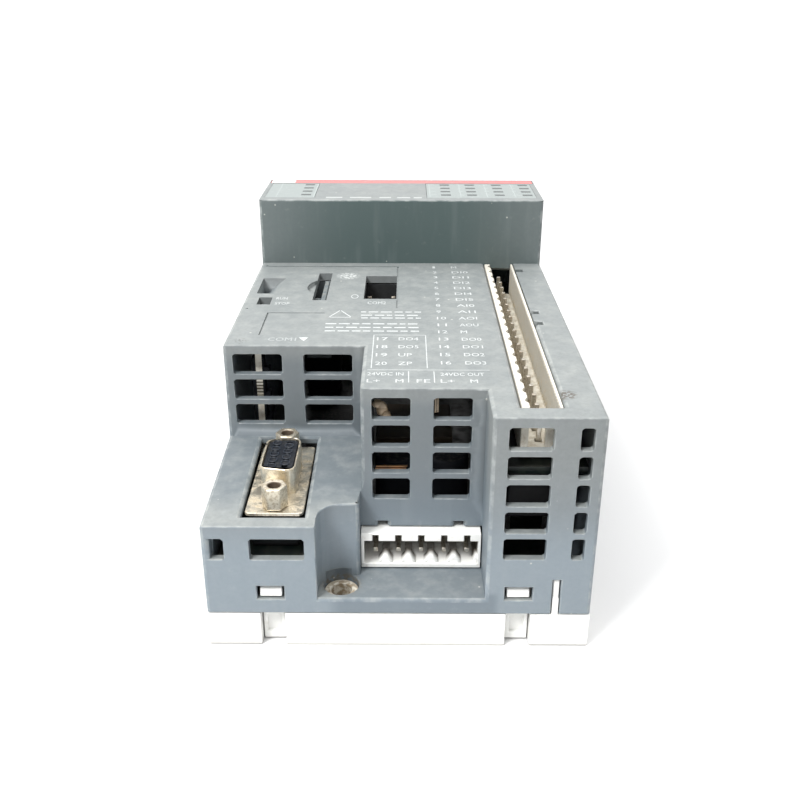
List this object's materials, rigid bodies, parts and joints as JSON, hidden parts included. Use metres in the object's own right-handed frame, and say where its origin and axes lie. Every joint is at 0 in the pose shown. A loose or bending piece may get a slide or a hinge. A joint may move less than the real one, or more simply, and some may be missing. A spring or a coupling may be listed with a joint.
{
  "type": "programmable logic controller module",
  "caption": "Compact rail-mounted programmable controller module: stepped vented housing, terminal headers, serial port, status panel and rail latches.",
  "frame": {"origin": "bottom centre of the bounding box: the middle of the rail side's outline, on the plane that rests on a bench", "axes": "+Z away from the rail, out of the deck; +Y from the supply and port end towards the raised head; +X towards the terminal header and bus socket side"},
  "size_m": [0.0826, 0.135, 0.074],
  "materials": {
    "top_cover": "moulded grey housing plastic, fine texture, dusty and scuffed",
    "base_shell": "moulded off-white plastic",
    "rail_latch_left": "off-white moulded plastic",
    "rail_latch_right": "off-white moulded plastic",
    "latch_spring_left": "spring steel wire",
    "latch_spring_right": "spring steel wire",
    "io_header_body": "aged cream moulded terminal plastic with brown dirt",
    "io_header_pins": "tinned square pins",
    "supply_header_body": "white moulded terminal plastic",
    "supply_header_pins": "tinned square pins",
    "port_front_shell": "nickel plated steel, slightly tarnished",
    "port_insert": "dark blue-black moulded insert",
    "port_contacts": "gold plated contacts",
    "port_bracket": "black moulded plastic",
    "port_jackscrew_near": "nickel plated hexagonal standoff",
    "port_jackscrew_far": "nickel plated hexagonal standoff",
    "switch_body": "black moulded plastic",
    "run_stop_slider": "white moulded plastic",
    "service_socket_body": "black moulded plastic",
    "service_socket_contacts": "tinned contacts",
    "card_slot_guide": "white moulded plastic",
    "bus_socket_body": "black moulded plastic",
    "bus_socket_contacts": "gold plated contacts",
    "stacking_header": "tan moulded plastic with dark bands",
    "power_transformer": "tan wound coil and bobbin",
    "processor_chip": "black moulded package",
    "driver_chip": "black moulded package",
    "light_guide_left": "clear moulded light guide",
    "light_guide_right": "clear moulded light guide",
    "status_label_left": "pale printed film",
    "status_label_right": "pale printed film",
    "head_stripe": "dark red printed film",
    "main_board": "green solder-masked circuit board",
    "port_board": "green solder-masked circuit board",
    "io_board": "green solder-masked circuit board",
    "led_board": "green solder-masked circuit board",
    "board_screw_1": "zinc plated screw",
    "board_screw_2": "zinc plated screw",
    "board_screw_3": "zinc plated screw",
    "board_screw_4": "zinc plated screw",
    "board_spacer_1": "nickel plated hexagonal spacer",
    "board_spacer_2": "nickel plated hexagonal spacer",
    "board_spacer_3": "nickel plated hexagonal spacer",
    "board_spacer_4": "nickel plated hexagonal spacer",
    "board_spacer_5": "nickel plated hexagonal spacer",
    "board_spacer_6": "nickel plated hexagonal spacer",
    "board_spacer_7": "nickel plated hexagonal spacer",
    "board_spacer_8": "nickel plated hexagonal spacer",
    "smoothing_capacitor_1": "dark sleeved capacitor can",
    "smoothing_capacitor_2": "dark sleeved capacitor can",
    "smoothing_capacitor_3": "dark sleeved capacitor can",
    "output_relay_1": "dark moulded relay case",
    "output_relay_2": "dark moulded relay case",
    "output_relay_3": "dark moulded relay case",
    "output_relay_4": "dark moulded relay case"
  },
  "bodies": {
    "module": {"top_cover": "top_cover", "base_shell": "base_shell", "latch_spring_left": "latch_spring_left", "latch_spring_right": "latch_spring_right", "io_header_body": "io_header_body", "io_header_pins": "io_header_pins", "supply_header_body": "supply_header_body", "supply_header_pins": "supply_header_pins", "port_front_shell": "port_front_shell", "port_insert": "port_insert", "port_contacts": "port_contacts", "port_bracket": "port_bracket", "port_jackscrew_near": "port_jackscrew_near", "port_jackscrew_far": "port_jackscrew_far", "switch_body": "switch_body", "service_socket_body": "service_socket_body", "service_socket_contacts": "service_socket_contacts", "card_slot_guide": "card_slot_guide", "bus_socket_body": "bus_socket_body", "bus_socket_contacts": "bus_socket_contacts", "stacking_header": "stacking_header", "power_transformer": "power_transformer", "processor_chip": "processor_chip", "driver_chip": "driver_chip", "light_guide_left": "light_guide_left", "light_guide_right": "light_guide_right", "status_label_left": "status_label_left", "status_label_right": "status_label_right", "head_stripe": "head_stripe", "main_board": "main_board", "port_board": "port_board", "io_board": "io_board", "led_board": "led_board", "board_screw_1": "board_screw_1", "board_screw_2": "board_screw_2", "board_screw_3": "board_screw_3", "board_screw_4": "board_screw_4", "board_spacer_1": "board_spacer_1", "board_spacer_2": "board_spacer_2", "board_spacer_3": "board_spacer_3", "board_spacer_4": "board_spacer_4", "board_spacer_5": "board_spacer_5", "board_spacer_6": "board_spacer_6", "board_spacer_7": "board_spacer_7", "board_spacer_8": "board_spacer_8", "smoothing_capacitor_1": "smoothing_capacitor_1", "smoothing_capacitor_2": "smoothing_capacitor_2", "smoothing_capacitor_3": "smoothing_capacitor_3", "output_relay_1": "output_relay_1", "output_relay_2": "output_relay_2", "output_relay_3": "output_relay_3", "output_relay_4": "output_relay_4"},
    "rail_latch_left": {"rail_latch_left": "rail_latch_left"},
    "rail_latch_right": {"rail_latch_right": "rail_latch_right"},
    "run_stop_slider": {"run_stop_slider": "run_stop_slider"}
  },
  "joints": [
    {"name": "run_stop_slide", "type": "slide", "parent": "module", "child": "run_stop_slider", "axis": [0, 1, 0], "range_m": [0, 0.002]},
    {"name": "latch_left_slide", "type": "slide", "parent": "module", "child": "rail_latch_left", "axis": [0, -1, 0], "range_m": [0, 0.004], "stiffness_N_per_m": 1500, "springref_m": -0.001, "deforming": ["latch_spring_left"]},
    {"name": "latch_right_slide", "type": "slide", "parent": "module", "child": "rail_latch_right", "axis": [0, -1, 0], "range_m": [0, 0.004], "stiffness_N_per_m": 1500, "springref_m": -0.001, "deforming": ["latch_spring_right"]}
  ]
}
